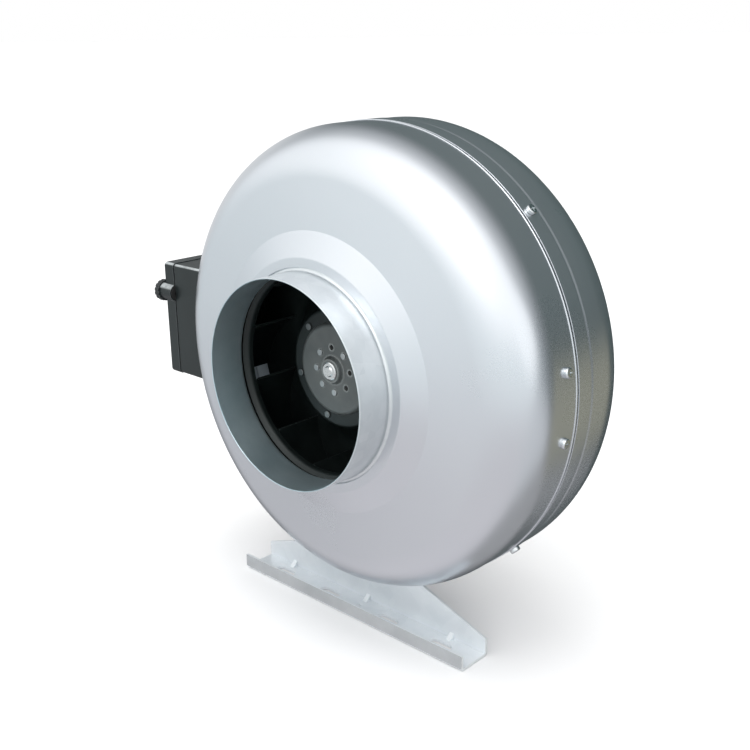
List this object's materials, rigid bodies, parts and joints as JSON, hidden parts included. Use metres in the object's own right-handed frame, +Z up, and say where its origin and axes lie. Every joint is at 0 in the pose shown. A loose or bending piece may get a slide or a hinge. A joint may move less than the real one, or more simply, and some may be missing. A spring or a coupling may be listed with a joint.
{
  "type": "inline duct fan",
  "caption": "Round inline duct fan: two pressed shells with duct collars, backward-curved impeller on an external-rotor motor, folded foot and terminal box.",
  "frame": {"origin": "middle of the foot's slot pattern, on the underside of the foot", "axes": "+Z up, +Y along the air flow from the inlet collar to the outlet collar, +X across the fan away from the terminal box"},
  "size_m": [0.3857, 0.2132, 0.3693],
  "materials": {
    "silver_paint": "satin metallic silver powder coat",
    "galvanised": "galvanised sheet steel, fine spangle",
    "zinc_fastener": "bright zinc plated steel",
    "black_coated": "black coated sheet steel, semi matt",
    "rotor_grey": "dark grey cast finish",
    "shaft_steel": "ground steel",
    "motor_aluminium": "die cast, fine grained",
    "stator_steel": "laminated electrical steel",
    "copper_winding": "enamelled copper wire",
    "box_plastic": "black moulded plastic, light texture",
    "screw_plastic": "dark grey moulded plastic",
    "black_rubber": "black rubber",
    "terminal_plastic": "pale moulded plastic",
    "capacitor_can": "pale grey plastic can",
    "lead_jacket": "black PVC lead jacket"
  },
  "bodies": {
    "housing": {"front_shell": "silver_paint", "rear_shell": "silver_paint", "inlet_collar": "galvanised", "outlet_collar": "galvanised", "inlet_nozzle": "black_coated", "motor_flange": "motor_aluminium", "front_bearing": "shaft_steel", "rear_bearing": "shaft_steel", "stator_core": "stator_steel", "stator_windings": "copper_winding", "motor_bracket": "galvanised", "motor_screws": "zinc_fastener", "bracket_screws": "zinc_fastener", "casing_screws": "zinc_fastener", "foot_bracket": "galvanised", "foot_screws": "zinc_fastener", "terminal_box_body": "box_plastic", "box_gasket": "black_rubber", "terminal_box_lid": "box_plastic", "lid_screws": "screw_plastic", "box_screws": "zinc_fastener", "terminal_block": "terminal_plastic", "terminal_screws": "zinc_fastener", "run_capacitor": "capacitor_can", "capacitor_clip": "galvanised", "earth_screw": "zinc_fastener", "lead_grommet": "black_rubber", "motor_lead": "lead_jacket", "gland_body": "screw_plastic", "gland_locknut": "screw_plastic", "gland_nut": "screw_plastic", "gland_seal": "black_rubber"},
    "rotor": {"impeller_shroud": "black_coated", "impeller_blades": "black_coated", "impeller_back_plate": "black_coated", "rotor_flange": "rotor_grey", "impeller_rivets": "zinc_fastener", "rotor_bell": "rotor_grey", "rotor_plugs": "shaft_steel", "rotor_cage_ring": "stator_steel", "motor_shaft": "shaft_steel", "shaft_collar": "shaft_steel"}
  },
  "joints": [
    {"name": "impeller_spin", "type": "hinge", "parent": "housing", "child": "rotor", "pos_m": [0, 0.00035, 0.1986], "axis": [0, 1, 0], "continuous": true}
  ]
}
